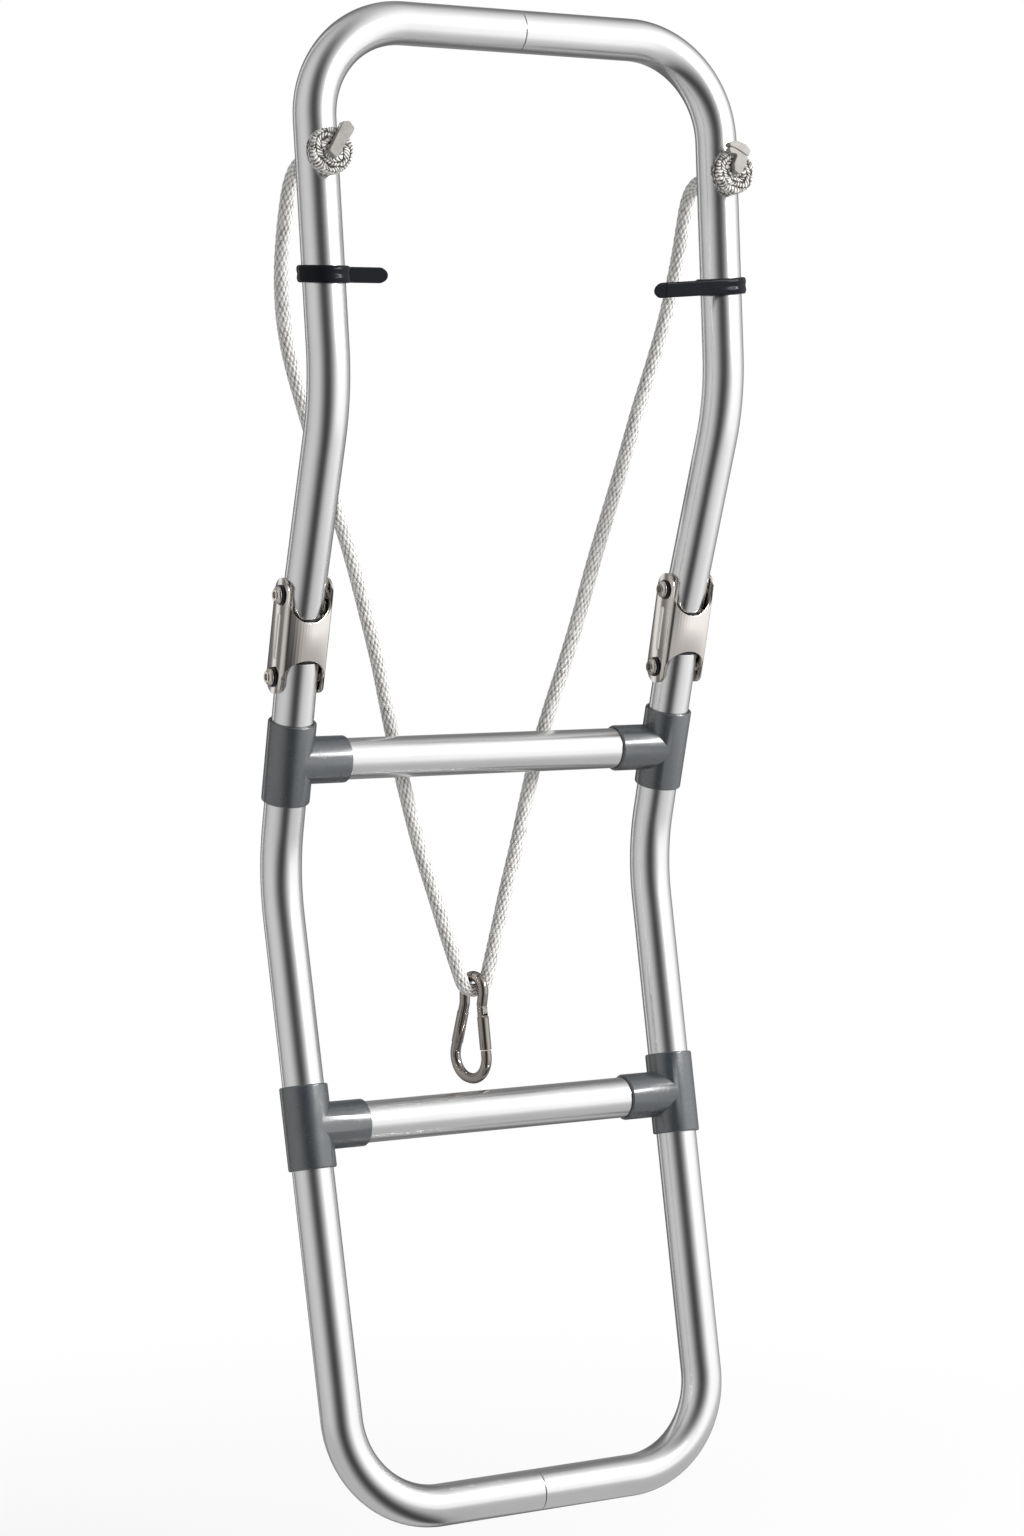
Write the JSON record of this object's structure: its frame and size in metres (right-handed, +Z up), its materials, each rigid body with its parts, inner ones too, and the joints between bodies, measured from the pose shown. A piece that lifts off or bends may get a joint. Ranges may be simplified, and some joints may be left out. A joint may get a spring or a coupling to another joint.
{
  "type": "boarding ladder",
  "caption": "Folding boarding ladder of bent tube with rungs in moulded tees, side hinges that fold it forwards, storage straps and a hauling rope with a snap hook.",
  "frame": {"origin": "middle of the top tube of the upper hoop, on its axis, where a hand or a hook holds the ladder", "axes": "+X across the ladder to the viewer's right, +Y towards the rope side (back), +Z up; the ladder hangs plumb"},
  "size_m": [0.297, 0.1137, 0.8946],
  "materials": {
    "aluminium_tube": "satin anodised",
    "grey_fitting": "satin moulded",
    "stainless_channel": "polished stainless sheet",
    "screw_steel": "bright stainless",
    "black_plastic": "moulded nylon",
    "strap_rubber": "smooth satin",
    "rope_fibre": "braided synthetic fibre",
    "hook_steel": "dark polished steel"
  },
  "bodies": {
    "upper_frame": {"upper_rail_left": "aluminium_tube", "upper_rail_right": "aluminium_tube", "top_joint_sleeve": "aluminium_tube", "end_plug_upper_left": "black_plastic", "end_plug_upper_right": "black_plastic", "rope": "rope_fibre", "rope_knot_left": "rope_fibre", "rope_knot_right": "rope_fibre"},
    "hinge_links": {"hinge_channel_left": "stainless_channel", "hinge_channel_right": "stainless_channel", "pivot_screw_upper_left": "screw_steel", "pivot_screw_upper_right": "screw_steel", "pivot_screw_lower_left": "screw_steel", "pivot_screw_lower_right": "screw_steel", "pivot_washer_upper_left": "black_plastic", "pivot_washer_upper_right": "black_plastic", "pivot_washer_lower_left": "black_plastic", "pivot_washer_lower_right": "black_plastic", "pivot_nut_upper_left": "screw_steel", "pivot_nut_upper_right": "screw_steel", "pivot_nut_lower_left": "screw_steel", "pivot_nut_lower_right": "screw_steel"},
    "lower_frame": {"lower_rail_left": "aluminium_tube", "lower_rail_right": "aluminium_tube", "bottom_joint_sleeve": "aluminium_tube", "end_plug_lower_left": "black_plastic", "end_plug_lower_right": "black_plastic", "rung_upper": "aluminium_tube", "rung_lower": "aluminium_tube", "tee_upper_left": "grey_fitting", "tee_upper_right": "grey_fitting", "tee_lower_left": "grey_fitting", "tee_lower_right": "grey_fitting", "tee_rivet_rail_upper_left": "screw_steel", "tee_rivet_rail_upper_right": "screw_steel", "tee_rivet_rail_lower_left": "screw_steel", "tee_rivet_rail_lower_right": "screw_steel", "tee_rivet_rung_upper_left": "screw_steel", "tee_rivet_rung_upper_right": "screw_steel", "tee_rivet_rung_lower_left": "screw_steel", "tee_rivet_rung_lower_right": "screw_steel"},
    "strap_left": {"storage_strap_left": "strap_rubber"},
    "strap_right": {"storage_strap_right": "strap_rubber"},
    "carabiner": {"carabiner_body": "hook_steel", "carabiner_pin": "hook_steel"},
    "carabiner_gate": {"carabiner_gate": "hook_steel", "carabiner_spring": "screw_steel"}
  },
  "joints": [
    {"name": "hinge_upper", "type": "hinge", "parent": "upper_frame", "child": "hinge_links", "pos_m": [0, 0.02067, -0.32993], "axis": [-1, 0, 0], "range_deg": [0, 85]},
    {"name": "hinge_lower", "type": "hinge", "parent": "hinge_links", "child": "lower_frame", "pos_m": [0, 0.03319, -0.37834], "axis": [-1, 0, 0], "range_deg": [0, 88]},
    {"name": "strap_left_swivel", "type": "hinge", "parent": "upper_frame", "child": "strap_left", "pos_m": [-0.13264, -0.01423, -0.14782], "axis": [-0.0139, 0.0958, 0.9953], "range_deg": [0, 180]},
    {"name": "strap_right_swivel", "type": "hinge", "parent": "upper_frame", "child": "strap_right", "pos_m": [0.13264, -0.01423, -0.14782], "axis": [0.0139, 0.0958, 0.9953], "range_deg": [0, 180]},
    {"name": "carabiner_swing", "type": "hinge", "parent": "upper_frame", "child": "carabiner", "pos_m": [0, 0.0563, -0.5766], "axis": [1, 0, 0], "range_deg": [-20, 25]},
    {"name": "gate_hinge", "type": "hinge", "parent": "carabiner", "child": "carabiner_gate", "pos_m": [0.00196, 0.049, -0.58916], "axis": [0.9659, 0.2588, 0], "range_deg": [0, 22], "stiffness_Nm_per_rad": 0.05, "springref_deg": -20.05}
  ]
}
